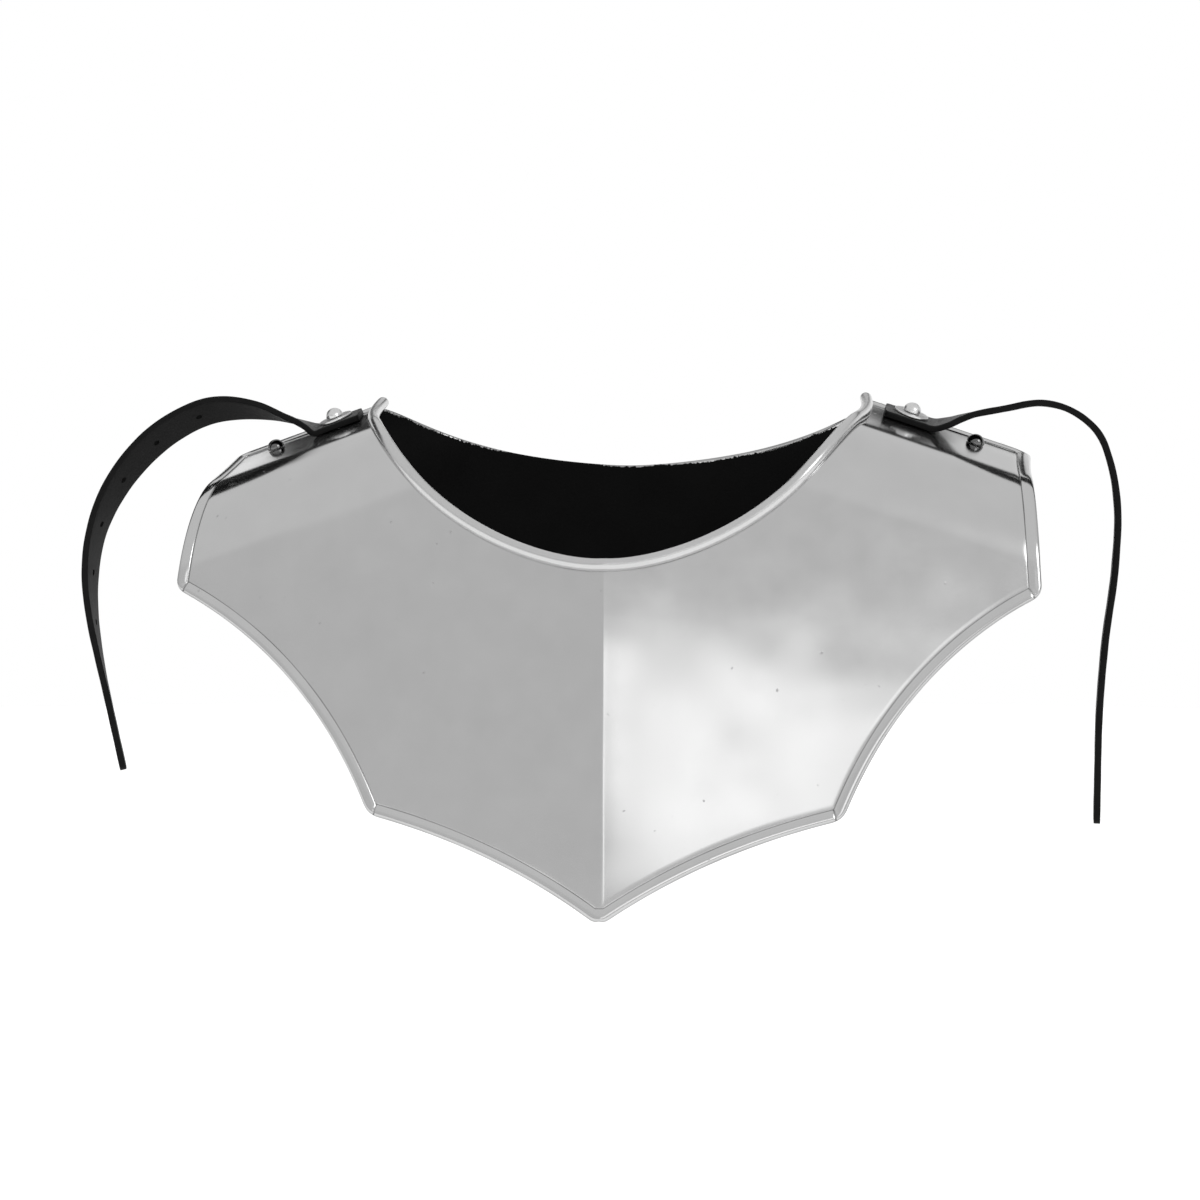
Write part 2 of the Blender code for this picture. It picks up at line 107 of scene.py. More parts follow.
# The wearer's left crown goes outward by this much, from this far out and over this length of the plate.
FLARE = 0.0042
FLARE_FROM = 0.1740
FLARE_LENGTH = 0.0800

# Paint inside: distances that count as fully painted and bare, how far it wraps over the nape rim, how much
# of that is lost towards the wearer's left, and where across the loss starts and over what run.
DEEP_PAINT = 0.01
NO_PAINT = -0.01
PAINT_WRAP = 0.0010
PAINT_LOSS = 0.0012
LOSS_FROM = -0.01
LOSS_RUN = 0.06

# Rivets and washers
RIVET_INSET = 0.0155
STRAP_RIVET_OUT = NECK_HALF + 0.27 * (HALF_WIDTH - NECK_HALF)
SHOULDER_RIVET_OUT = NECK_HALF + 0.69 * (HALF_WIDTH - NECK_HALF)
SHANK_RADIUS = 0.0020
DOME_RADIUS = 0.0042
DOME_HEIGHT = 0.0042
DOME_FOOT = 0.0003
TAIL_RADIUS = 0.0034
TAIL_HEIGHT = 0.0013
WASHER_RADIUS = 0.0083
WASHER_THICKNESS = 0.0010
WASHER_EASE = 0.00032

# Straps
STRAP_WIDTH = 0.0190
STRAP_EASE = 0.00075
STRAP_OVERHANG = 0.0115
STRAP_GRIP = 0.0100
STRAP_TIP = 0.0250
STRAP_RISE = 0.10
NECK_END_ROUND = 0.0016
TIP_ROUND = 0.0030
HOLE_RADIUS = 0.0015
HOLE_FIRST = 0.0700
HOLE_PITCH = 0.0240
HOLE_COUNT = 6

# Fineness of the grids
ROLL_STEPS = 26
MIDDLE_ROWS = 60
LEG_COLUMNS = 44
NOTCH_COLUMNS = 18
COURSE_STEPS = 44
STRAP_RINGS = 420

# Edges that turn by more than this are shown sharp
SHEET_SHARP = math.radians(35)
TURNED_SHARP = math.radians(40)
LEATHER_SHARP = math.radians(50)

Corner = namedtuple("Corner", "across along bow rib lean skew", defaults=(0.0, 0.0))
# Shares of the half width and of the plate's length; bow is the inward curve of the edge that leads to the
# corner, rib the share of the neckline where its line starts, lean and skew the unevenness from side to side.
FRONT_CORNERS = (
    Corner(across=0.000, along=1.005, bow=0.000, rib=0.00),
    Corner(across=0.539, along=0.757, bow=0.034, rib=0.34),
    Corner(across=1.005, along=0.359, bow=0.066, rib=0.66, lean=-0.018, skew=0.008),
    Corner(across=1.000, along=0.000, bow=0.024, rib=1.00),
)
BACK_CORNERS = (
    Corner(across=0.000, along=1.000, bow=0.000, rib=0.00),
    Corner(across=0.930, along=0.440, bow=-0.200, rib=0.45),
    Corner(across=1.000, along=0.000, bow=0.000, rib=1.00),
)
FRONT_NECKLINE = ((0.0, 1.0), (0.291, 0.938), (1.044, 0.570), (1.0, 0.0))
BACK_NECKLINE = ((0.0, 1.0), (0.368, 1.0), (1.294, 0.753), (1.0, 0.0))

# The folded hem in section: distance from the edge and height of its outer skin, in millimetres.
HEM_DISTANCE = (0.03, 0.12, 0.30, 0.55, 0.85, 1.2, 1.8, 2.6, 3.5, 4.3, 4.8, 5.1, 5.25, 5.4, 5.65, 6.1)
HEM_HEIGHT = (0.86, 1.12, 1.40, 1.60, 1.74, 1.81, 1.84, 1.79, 1.65, 1.44, 1.27, 1.12, 0.90, 0.54, 0.56, 0.60)
HEM_REACH = HEM_DISTANCE[-1] / 1000
DEPTHS = np.array(HEM_DISTANCE) / 1000

Station = namedtuple("Station", "out down ahead twist", defaults=(0.0,))
Strap = namedtuple("Strap", "side reach drop ahead spread stations")
# Shares of the strap's reach, drop and lead from its rivet, and the turn of its front edge in degrees.
STRAPS = (
    Strap(side=1, reach=0.0942, drop=0.1894, ahead=0.0100, spread=9.6, stations=(
        Station(out=0.200, down=0.013, ahead=0.15, twist=-8.0),
        Station(out=0.264, down=0.002, ahead=0.24, twist=-3.0),
        Station(out=0.458, down=-0.017, ahead=0.44),
        Station(out=0.648, down=-0.029, ahead=0.64),
        Station(out=0.742, down=-0.018, ahead=0.74),
        Station(out=0.835, down=0.009, ahead=0.84),
        Station(out=0.906, down=0.046, ahead=0.94),
        Station(out=0.968, down=0.125, ahead=0.94),
        Station(out=0.998, down=0.222, ahead=0.94),
        Station(out=0.991, down=0.367, ahead=0.84),
        Station(out=0.945, down=0.562, ahead=0.64),
        Station(out=0.920, down=0.757, ahead=0.44),
        Station(out=0.917, down=0.868, ahead=0.34),
    )),
    Strap(side=-1, reach=0.1142, drop=0.1683, ahead=0.0264, spread=21.5, stations=(
        Station(out=0.150, down=0.003, ahead=0.06, twist=-5.0),
        Station(out=0.209, down=-0.010, ahead=0.13, twist=1.0),
        Station(out=0.349, down=-0.033, ahead=0.32, twist=21.0),
        Station(out=0.505, down=-0.029, ahead=0.55, twist=36.0),
        Station(out=0.661, down=0.024, ahead=0.77, twist=40.0),
        Station(out=0.822, down=0.128, ahead=0.92, twist=38.0),
        Station(out=0.910, down=0.222, ahead=1.00, twist=32.0),
        Station(out=0.975, down=0.335, ahead=1.00, twist=23.0),
        Station(out=1.000, down=0.448, ahead=0.96, twist=17.0),
        Station(out=0.994, down=0.562, ahead=0.92, twist=9.5),
        Station(out=0.968, down=0.676, ahead=0.89, twist=3.5),
        Station(out=0.935, down=0.790, ahead=0.85),
        Station(out=0.917, down=0.851, ahead=0.82),
    )),
)

# Camera, at the photograph's angle
CAMERA_AIM = (-0.0049, -0.0600, -0.0859)
CAMERA_DISTANCE = 0.8024
CAMERA_YAW = math.radians(5.4)
CAMERA_ROLL = math.radians(-0.06)
CAMERA_LENS = 36 * 1765 / 1200

# Studio floor
FLOOR_HEIGHT = -0.60
FLOOR_RADIUS = 8
FLOOR_CORNERS = 96


def place_camera():
    """Looks level, turned by the yaw about +Z round the aim, then rolled about the line of sight."""
    ahead = Vector((-math.sin(CAMERA_YAW), math.cos(CAMERA_YAW), 0))
    right = Vector((math.cos(CAMERA_YAW), math.sin(CAMERA_YAW), 0))
    up = Vector((0, 0, 1))
    across = right * math.cos(CAMERA_ROLL) - up * math.sin(CAMERA_ROLL)
    above = right * math.sin(CAMERA_ROLL) + up * math.cos(CAMERA_ROLL)
    camera = bpy.data.objects.new("camera", bpy.data.cameras.new("camera"))
    bpy.context.scene.collection.objects.link(camera)
    camera.data.lens = CAMERA_LENS
    camera.data.sensor_width = 36
    camera.data.clip_start = 0.01
    camera.data.clip_end = 50
    turn = Matrix((across, above, -ahead)).transposed().to_4x4()
    camera.matrix_world = Matrix.Translation(Vector(CAMERA_AIM) - ahead * CAMERA_DISTANCE) @ turn
    bpy.context.scene.camera = camera


# Shader maths


class Value:
    """A socket that takes part in Python sums; each sum adds its Math node."""

    def __init__(self, nodes, socket):
        self.nodes = nodes
        self.socket = socket

    def sum(self, operation, *others, first=None):
        """One Math node on this value and the others, with first placed before it where that is given."""
        given = [self if first is None else first, *(others if first is None else (self,))]
        return self.nodes.add("ShaderNodeMath", {"operation": operation}, dict(enumerate(given)))

    def __add__(self, other):
        return self.sum("ADD", other)

    def __radd__(self, other):
        return self.sum("ADD", first=other)

    def __sub__(self, other):
        return self.sum("SUBTRACT", other)

    def __rsub__(self, other):
        return self.sum("SUBTRACT", first=other)

    def __mul__(self, other):
        return self.sum("MULTIPLY", other)

    def __rmul__(self, other):
        return self.sum("MULTIPLY", first=other)

    def clip(self, low, high):
        """Rises from 0 at low to 1 at high, smoothly."""
        return self.nodes.add(
            "ShaderNodeMapRange",
            {"interpolation_type": "SMOOTHSTEP"},
            {"Value": self, "From Min": low, "From Max": high},
        )


class Nodes:
    """The nodes of one material or world."""

    def __init__(self, tree):
        self.tree = tree

    def add(self, kind, settings=None, sockets=None, out=0):
        """One node: its settings first, then numbers or links for its sockets. Gives back one output."""
        node = self.tree.nodes.new(kind)
        for name, setting in (settings or {}).items():
            setattr(node, name, setting)
        for name, given in (sockets or {}).items():
            self.feed(node.inputs[name], given)
        return Value(self, node.outputs[out])

    def feed(self, socket, given):
        """Links a value to a socket, or sets a number or colour on it."""
        if isinstance(given, Value):
            self.tree.links.new(given.socket, socket)
        else:
            socket.default_value = given

    def mix(self, share, first, second):
        """A colour between two."""
        return self.add("ShaderNodeMix", {"data_type": "RGBA"}, {0: share, 6: first, 7: second}, out=2)

    def noise(self, place, scale, detail=2.0, roughness=0.5):
        """Noise from 0 to 1 at a place."""
        return self.add(
            "ShaderNodeTexNoise",
            {},
            {"Vector": place, "Scale": scale, "Detail": detail, "Roughness": roughness},
        )

    def cells(self, place, scale, **settings):
        """Distance to the nearest of scattered points."""
        return self.add("ShaderNodeTexVoronoi", settings, {"Vector": place, "Scale": scale})

    def stretched(self, place, *scales):
        """The place with its three parts scaled apart."""
        return self.add("ShaderNodeMapping", {}, {"Vector": place, "Scale": scales})

    def attribute(self, name):
        """A number that is kept at the mesh's points."""
        return self.add("ShaderNodeAttribute", {"attribute_name": name}, out=2)


def new_material(name, **constants):
    """A material with one Principled shader: constants are set on its sockets."""
    made = bpy.data.materials.new(name)
    made.use_nodes = True
    shader = made.node_tree.nodes["Principled BSDF"]
    for socket, given in constants.items():
        shader.inputs[socket.replace("_", " ")].default_value = given
    nodes = Nodes(made.node_tree)
    place = nodes.add("ShaderNodeTexCoord", out=3)
    return made, nodes, shader.inputs, place


def grey(level):
    """A grey as a colour socket takes it."""
    return (level, level, level, 1.0)


def bumps(nodes, *layers):
    """Bump nodes in a row, each layer (height, depth in metres)."""
    last = None
    for height, depth in layers:
        sockets = {"Height": height, "Distance": depth, "Strength": 1.0}
        if last is not None:
            sockets["Normal"] = last
        last = nodes.add("ShaderNodeBump", {}, sockets)
    return last


def plate_steel():
    """Polished sheet steel: a soft mirror with faint waves, hairlines and dull spots, black paint inside, and
    painted shade in the crevices and along the hems' outer rims.
    """
    made, nodes, sockets, place = new_material("plate_steel", Specular_IOR_Level=0.05)
    waves = nodes.noise(place, 16.0, 1.0)
    haze = nodes.noise(place, 60.0, 4.0)
    fading = nodes.noise(place, 28.0, 2.0).clip(0.36, 0.62)
    hairs = nodes.noise(nodes.stretched(place, 3500.0, 3500.0, 160.0), 1.0, 3.0, 0.7)
    spots = nodes.noise(place, 300.0, 1.0).clip(0.69, 0.75) * nodes.cells(place, 220.0).clip(0.26, 0.10)
    # Painted shade: this attribute darkens the steel in its crevices, along the hems' inner edges, in the hem
    # corners' notches, under the neck roll and at the roll's free edge
    crevice_shade = nodes.attribute("crevice_shade") * (0.35 + 0.65 * fading)
    # Painted shade: this attribute darkens the steel along the hems' folded outer rims
    rim_shade = nodes.attribute("rim") * (0.6 + 0.4 * fading)
    rolled = nodes.attribute("rolled")
    inner = nodes.attribute("inner")
    ragged = nodes.noise(place, 700.0, 4.0, 0.65)
    worn = nodes.noise(place, 30.0, 2.0).clip(0.35, 0.65)
    paint = (inner - worn * 0.0009 + (ragged - 0.5) * 0.0030).clip(0.00045, 0.00065)

    shine = 0.60 + (haze - 0.5) * 0.06 - spots * 0.12 - crevice_shade * 0.48 - rim_shade * 0.30
    steel = nodes.add("ShaderNodeCombineColor", {}, {0: shine, 1: shine, 2: shine})
    black = nodes.mix(nodes.noise(place, 40.0, 3.0), grey(0.0015), grey(0.0040))
    nodes.feed(sockets["Base Color"], nodes.mix(paint, steel, black))
    nodes.feed(sockets["Metallic"], 1 - paint)
    rough = 0.10 + haze * 0.07 + (hairs - 0.5) * 0.04 + spots * 0.15 + crevice_shade * 0.3 + rolled * 0.12
    nodes.feed(sockets["Roughness"], rough * (1 - paint) + paint * (0.50 + haze * 0.25))
    normal = bumps(nodes, (waves, 0.0011), (hairs, 0.0000015), (spots, -0.00002), (paint * ragged, 0.0001))
    nodes.feed(sockets["Normal"], normal)
    return made


def rivet_steel(name, level, roughness):
    """Turned and hand-set heads with a few flats and scuffs, dark and polished or light and satin."""
    made, nodes, sockets, place = new_material(name, Metallic=1.0)
    scuffs = nodes.noise(place, 900.0, 4.0, 0.6)
    flats = nodes.cells(place, 420.0, feature="SMOOTH_F1")
    shine = level + (scuffs - 0.5) * level * 0.3
    steel = nodes.add("ShaderNodeCombineColor", {}, {0: shine, 1: shine, 2: shine})
    nodes.feed(sockets["Base Color"], steel)
    nodes.feed(sockets["Roughness"], roughness + scuffs * 0.08)
    nodes.feed(sockets["Normal"], bumps(nodes, (flats, 0.00005), (scuffs, 0.00002)))
    return made


def black_leather():
    """Dyed leather: pebbled grain on both faces, cut edges burnished smooth, dust and a painted sheen in the
    grain on top.
    """
    made, nodes, sockets, place = new_material("black_leather", Specular_IOR_Level=0.08)
    edge = nodes.attribute("cut_edge")
    top = nodes.attribute("grain_side")
    pebbles = nodes.cells(place, 1100.0, feature="SMOOTH_F1")
    pores = nodes.noise(place, 2600.0, 4.0, 0.65)
    creases = nodes.noise(place, 160.0, 4.0, 0.6)
    fuzz = nodes.noise(nodes.stretched(place, 700.0, 700.0, 2600.0), 1.0, 3.0, 0.7)
    grain = pebbles * 0.6 + pores * 0.4
    sideways = nodes.add("ShaderNodeSeparateXYZ", {}, {"Vector": place}).sum("ABSOLUTE")
    by_seat = sideways.clip(0.188, 0.165)
    # Dust and painted sheen: a pale grey mixed into the grain of the top face, strongest near the rivet seat
    dust_and_sheen = pores.clip(0.38, 0.62) * creases.clip(0.20, 0.55) * top * (1 - edge) * (0.12 + 0.88 * by_seat)
    base = nodes.mix(creases, grey(0.0030), grey(0.0085))
    nodes.feed(sockets["Base Color"], nodes.mix(dust_and_sheen * 0.9, base, grey(0.20)))
    face = 0.40 + (pores - 0.5) * 0.25 + creases * 0.10 + (1 - top) * 0.10
    nodes.feed(sockets["Roughness"], face * (1 - edge) + edge * (0.36 + fuzz * 0.3))
    normal = bumps(nodes, (creases, 0.00018), (grain * (1 - edge), 0.00012), (fuzz * edge, 0.00005))
    nodes.feed(sockets["Normal"], normal)
    return made


# The two sheets


def unit(vectors):
    """Vectors over their own length."""
    return vectors / np.linalg.norm(vectors, axis=-1, keepdims=True)


def run_lengths(points):
    """Length run at each point of a line: the sum of the steps before it."""
    steps = np.linalg.norm(np.diff(points, axis=0), axis=1)
    return np.concatenate([[0.0], np.cumsum(steps)])


def bent_run(s, start, first, last, radius):
    """Run and drop after the length s of a line that is bent once, at start, from heading first to heading
    last: straight, then an arc, then straight."""
    arc = radius * (last - first)
    before = np.minimum(s, start)
    turned = first + np.clip(s - start, 0.0, arc) / radius
    after = np.maximum(s - start - arc, 0.0)
    run = before * math.cos(first) + radius * (np.sin(turned) - math.sin(first)) + after * math.cos(last)
    drop = before * math.sin(first) + radius * (math.cos(first) - np.cos(turned)) + after * math.sin(last)
    return run, drop


def front_sheet(places):
    """Middle of the front sheet at places (..., 2): a bent run carried outward and down the shoulder, with a
    keel that dies away as exp(-|x| / width) and is rounded at its crest."""
    x, s = places[..., 0], places[..., 1]
    out = np.abs(x)
    crest = np.sqrt(x * x + KEEL_ROUND**2) - KEEL_ROUND
    run, drop = bent_run(s, CROWN_RUN, CROWN_TILT, math.pi / 2 - FACE_LEAN, FRONT_BEND)
    y = PLAN_SWEEP * (crest - NECK_HALF) - KEEL_HEIGHT * np.exp(-crest / KEEL_WIDTH) - run
    z = SEAM_HEIGHT - math.tan(SHOULDER_FALL) * (out - NECK_HALF) - drop
    return np.stack([x, y, z], axis=-1)


def back_sheet(places):
    """Middle of the back sheet: flat under the front sheet's crown, then bent down, and rounded across the
    nape as (x^2 + n^2) / 2n inside the neck's half width n."""
    x, s = places[..., 0], places[..., 1]
    out = np.where(np.abs(x) < NECK_HALF, (x * x + NECK_HALF**2) / (2 * NECK_HALF), np.abs(x))
    run, drop = bent_run(s, BACK_CROWN, -CROWN_TILT, math.pi / 2 - BACK_LEAN, BACK_BEND)
    slope = PLAN_SWEEP * math.sin(CROWN_TILT) + math.tan(SHOULDER_FALL) * math.cos(CROWN_TILT)
    under = (SHEET + GAP) * math.hypot(slope, 1.0) / math.cos(CROWN_TILT)
    y = PLAN_SWEEP * (out - NECK_HALF) + run
    z = SEAM_HEIGHT - under - math.tan(SHOULDER_FALL) * (out - NECK_HALF) - drop
    return np.stack([x, y, z], axis=-1)


def slopes(sheet, places):
    """The sheet's tangents for a step across and a step along, by central differences."""
    small = 1e-5
    across = np.array([small, 0.0])
    along = np.array([0.0, small])
    return (
        (sheet(places + across) - sheet(places - across)) / (2 * small),
        (sheet(places + along) - sheet(places - along)) / (2 * small),
    )


def upward(sheet, places):
    """Unit normal on the sheet's outer side."""
    across, along = slopes(sheet, places)
    normal = unit(np.cross(along, across))
    return normal * np.sign(normal[..., 2:3] + 1e-9)


def stepped(sheet, places, vectors):
    """The places reached by small steps that are given as vectors in space: the steps' parts along both
    tangents, solved for by the tangents' own products."""
    across, along = slopes(sheet, places)
    aa, ab, bb = ((u * v).sum(-1) for u, v in ((across, across), (across, along), (along, along)))
    a = (across * vectors).sum(-1)
    b = (along * vectors).sum(-1)
    share = aa * bb - ab * ab
    return places + np.stack([(a * bb - b * ab) / share, (b * aa - a * ab) / share], axis=-1)


# Outlines


def bezier(controls, width, length, shares):
    """Places at shares of the length of a Bezier curve, the sum of Bernstein terms over its controls."""
    t = np.linspace(0.0, 1.0, 1200)[:, None]
    last = len(controls) - 1
    curve = sum(
        math.comb(last, k) * (1 - t) ** (last - k) * t**k * np.array([c[0] * width, c[1] * length])
        for k, c in enumerate(controls)
    )
    lengths = run_lengths(curve)
    return np.stack([np.interp(shares * lengths[-1], lengths, curve[:, i]) for i in (0, 1)], axis=1)


def bowed(start, end, bow, shares):
    """Places on an edge that curves in by a share of its chord: chord plus a parabola across it."""
    chord = end - start
    into = np.array([chord[1], -chord[0]])
    return start + shares[..., None] * chord + (4 * bow * shares * (1 - shares))[..., None] * into


class Leg:
    """One edge of the outline between two corners, on one side of the plate."""

    def __init__(self, sheet, side, start, end, bow):
        self.sheet = sheet
        self.side = side
        self.start = start
        self.end = end
        self.bow = bow
        steps = sheet(self.at(np.linspace(0.0, 1.0, 400)))
        self.length = np.linalg.norm(np.diff(steps, axis=0), axis=1).sum()

    def at(self, shares):
        """Places at shares of the edge."""
        return bowed(self.start, self.end, self.bow, np.asarray(shares, float)) * (self.side, 1.0)

    def heading(self, shares):
        """Unit vectors along the edge, in space."""
        shares = np.asarray(shares, float)
        return unit(self.sheet(self.at(shares + 1e-4)) - self.sheet(self.at(shares - 1e-4)))

    def inside(self, shares):
        """Unit vectors in the sheet, square to the edge and pointing into the plate."""
        across = np.cross(upward(self.sheet, self.at(shares)), self.heading(shares))
        toward = self.sheet(self.at(shares) * (1.0, 0.9)) - self.sheet(self.at(shares))
        lean = self.sheet(self.at(shares) * (0.9, 1.0)) - self.sheet(self.at(shares))
        return across * np.sign((across * (toward + lean)).sum(-1, keepdims=True))


def half_turn(before, after):
    """Tangent of half the turn from one edge to the next: the share of depth that the mitre takes off."""
    first = before.heading(1.0)
    last = after.heading(0.0)
    turn = math.acos(max(-1.0, min(1.0, float(first @ last))))
    opening = float(last @ before.inside(1.0))
    return math.tan(turn / 2) * (1 if opening > 0 else -1)


def outline_rows(legs, mirrored_start, leg_shares, depths):
    """Places for each depth (rows) and each share of each leg (columns): the leg's point, moved square to it
    by the depth, where the share runs only between the two mitre lines. Also the notch at each leg's end: a
    bell curve round the foot from which the hem's inner corner is reached square to the edge."""
    turns = [math.tan(mirrored_start)] + [half_turn(a, b) for a, b in zip(legs, legs[1:])] + [0.0]
    rows = []
    notches = []
    for leg, first, last, shares in zip(legs, turns, turns[1:], leg_shares):
        start = first * depths / leg.length
        end = last * depths / leg.length
        along = start[:, None] + shares[None, :] * (1 - start - end)[:, None]
        places = leg.at(along)
        rows.append(stepped(leg.sheet, places, leg.inside(along) * depths[:, None, None]))
        foot = (1 - along) * leg.length - last * HEM_WIDTH
        notches.append(np.exp(-((foot / NOTCH_WIDTH) ** 2)) * (last > 0) * (depths < HEM_WIDTH)[:, None])
    return np.concatenate(rows, axis=1), np.concatenate(notches, axis=1)


def rounded(sheet, row, radius):
    """A row whose corners are eased by the mean over a stretch of its length, radius to each side."""
    if radius <= 0:
        return row
    lengths = run_lengths(sheet(row))
    steps = np.diff(lengths)[:, None]
    area = np.concatenate([np.zeros((1, 2)), np.cumsum((row[1:] + row[:-1]) / 2 * steps, axis=0)])
    reach = np.minimum(radius, np.minimum(lengths, lengths[-1] - lengths))
    after = at_length(lengths + reach, lengths, area)
    before = at_length(lengths - reach, lengths, area)
    near_end = reach < 1e-9
    mean = (after - before) / np.where(near_end, 1.0, 2 * reach)[:, None]
    return np.where(near_end[:, None], row, mean)


def at_length(places, lengths, rows):
    """Rows of numbers read off at places along a line whose rows lie at the given lengths."""
    return np.stack([np.interp(places, lengths, column) for column in rows.T], axis=1)


# Meshes


def grid_faces(at):
    """Faces between neighbouring rows and columns of a grid of point numbers."""
    return np.stack([at[:-1, :-1], at[:-1, 1:], at[1:, 1:], at[1:, :-1]], axis=-1).reshape(-1, 4)


def ring_numbers(rows, around):
    """Point numbers of rings, with each ring's first point again at its end."""
    at = np.arange(rows * around).reshape(rows, around)
    return np.concatenate([at, at[:, :1]], axis=1)


def mesh_object(name, points, faces, look, attributes=None):
    """A mesh from points (n, 3) and a list of face arrays, with its faces turned outward by their volume."""
    points = np.asarray(points, float).reshape(-1, 3)
    sizes = np.concatenate([np.full(len(f), f.shape[1]) for f in faces])
    corners = np.concatenate([f.reshape(-1) for f in faces]).astype(np.int32)
    starts = np.concatenate([[0], np.cumsum(sizes)[:-1]]).astype(np.int32)
    mesh = bpy.data.meshes.new(name)
    mesh.vertices.add(len(points))
    mesh.vertices.foreach_set("co", points.reshape(-1))
    mesh.loops.add(len(corners))
    mesh.loops.foreach_set("vertex_index", corners)
    mesh.polygons.add(len(sizes))
    mesh.polygons.foreach_set("loop_start", starts)
    mesh.update(calc_edges=True)
    triangles = np.concatenate([f[:, [0, k, k + 1]] for f in faces for k in range(1, f.shape[1] - 1)])
    a, b, c = (points[triangles[:, k]] for k in range(3))
    if (a * np.cross(b, c)).sum() < 0:
        mesh.flip_normals()
    mesh.validate()
    mesh.shade_smooth()
    for label, values in (attributes or {}).items():
        layer = mesh.attributes.new(label, "FLOAT", "POINT")
        layer.data.foreach_set("value", np.asarray(values, np.float32).reshape(-1))
    mesh.materials.append(look)
    made = bpy.data.objects.new(name, mesh)
    bpy.context.scene.collection.objects.link(made)
    return made


def walled(name, upper, lower, look, attributes):
    """A closed wall between two grids with the same rows and columns, joined round their rims."""
    count = upper.shape[0] * upper.shape[1]
    at = np.arange(count).reshape(upper.shape[:2])
    rim = np.concatenate([at[0], at[1:, -1], at[-1, -2::-1], at[-2::-1, 0]])
    wall = np.stack([rim[:-1], rim[:-1] + count, rim[1:] + count, rim[1:]], axis=1)
    faces = [grid_faces(at), grid_faces(at + count)[:, ::-1], wall]
    points = np.concatenate([upper.reshape(-1, 3), lower.reshape(-1, 3)])
    made = mesh_object(name, points, faces, look, attributes)
    made.data.set_sharp_from_angle(angle=SHEET_SHARP)
    return made


# Plates


def eased_shares(count):
    """Shares from 0 to 1 that crowd at both ends, half of one minus a cosine."""
    return (1 - np.cos(np.linspace(0.0, math.pi, count))) / 2


def hem_skins(distance):
    """Heights of the outer and the inner skin over the sheet's middle, at a distance from a folded edge."""
    outer = np.interp(distance * 1000, HEM_DISTANCE, HEM_HEIGHT) / 1000
    round_off = np.sqrt(np.clip(SHEET**2 - np.maximum(SHEET - distance, 0.0) ** 2, 0.0, None))
    inner = np.where(distance < SHEET, SHEET / 2 - round_off, -SHEET / 2)
    return outer, inner


def skins(sheet, places, outer, inner):
    """Two grids of points at heights over the middle of a sheet, square to it."""
    middle = sheet(places)
    normal = upward(sheet, places)
    return middle + normal * outer[..., None], middle + normal * inner[..., None]


def neck_places(neckline, neck_half, neck_length, ribs, seams):
    """Places on the neckline: one for each rib as far as the seam's columns, then one beside each."""
    evenly = np.linspace(0.0, 1.0, 800)
    across, along = bezier(neckline, neck_half, neck_length, evenly)[::-1].T
    beside = np.stack([np.interp(seams, along, across), seams], axis=1)
    ribs = ribs * np.interp(seams[0], along, evenly[::-1])
    return np.concatenate([bezier(neckline, neck_half, neck_length, ribs), beside])


def plate_half(sheet, side, corners, neckline, sizes, seams):
    """Grids of places for one side: the outline's rows by depth, the neckline's columns, and the notches."""
    width, length, neck_half, neck_length = sizes
    depths = DEPTHS[::-1]
    ends = np.array([[c.across + side * c.lean, c.along + side * c.skew] for c in corners]) * (width, length)
    ends[-1, 1] = seams[0]
    legs = [Leg(sheet, side, a, b, c.bow) for a, b, c in zip(ends, ends[1:], corners[1:])]
    even = eased_shares(LEG_COLUMNS + 1)[:-1]
    near_end = np.linspace(NOTCH_NEAR, NOTCH_REACH, NOTCH_COLUMNS)
    leg_shares = [np.unique(np.concatenate([even, 1 - near_end / leg.length])) for leg in legs]
    first = legs[0].heading(0.0)
    start = math.atan2(abs(float(first[2])), abs(float(first[0])))
    rows, notch = outline_rows(legs, start, leg_shares, depths)
    ribs = np.concatenate([a.rib + (b.rib - a.rib) * t for a, b, t in zip(corners, corners[1:], leg_shares)])
    neck = neck_places(neckline, neck_half, neck_length, ribs, seams) * (side, 1.0)
    by_seam = (len(depths), len(seams))
    out = np.broadcast_to(width - depths[:, None], by_seam) * side
    rows = np.concatenate([rows, np.stack([out, np.broadcast_to(seams, by_seam)], axis=-1)], axis=1)
    notch = np.concatenate([notch, np.zeros(by_seam)], axis=1)
    return rows, neck, notch


def neck_inward(sheet, neck, middle):
    """Unit vectors in the sheet, square to the neckline and pointing into the plate."""
    points = sheet(neck)
    heading = np.gradient(points, axis=0)
    side = unit(np.cross(upward(sheet, neck), heading))
    toward = sheet(middle) - points
    return side * np.sign((side * toward).sum(-1, keepdims=True))


def join_sides(right, left, axis):
    """The right side's columns in reverse, then the left side's without the centre line again."""
    flipped = np.flip(right, axis=axis)
    keep = [slice(None)] * left.ndim
    keep[axis] = slice(1, None)
    return np.concatenate([flipped, left[tuple(keep)]], axis=axis)


def both_sides(sheet, corners, neckline, sizes, seams):
    """The whole plate's outline rows, neckline columns and notches, from the wearer's right to the left."""
    right = plate_half(sheet, -1, corners, neckline, sizes, seams)
    left = plate_half(sheet, 1, corners, neckline, sizes, seams)
    return tuple(join_sides(a, b, axis) for a, b, axis in zip(right, left, (1, 0, 1)))


def filled(near, far):
    """The neckline's rows of places, even rows between, and the outline's rows."""
    shares = np.linspace(0.0, 1.0, MIDDLE_ROWS + 2)[1:-1, None, None]
    return np.concatenate([near, near[-1] + (far[0] - near[-1]) * shares, far])


def rim_shade_share(edge):
    """How much painted shade darkens the outer rim at a distance from a folded edge, a bell curve."""
    return np.exp(-((edge / RIM_SHADE_WIDTH) ** 2))


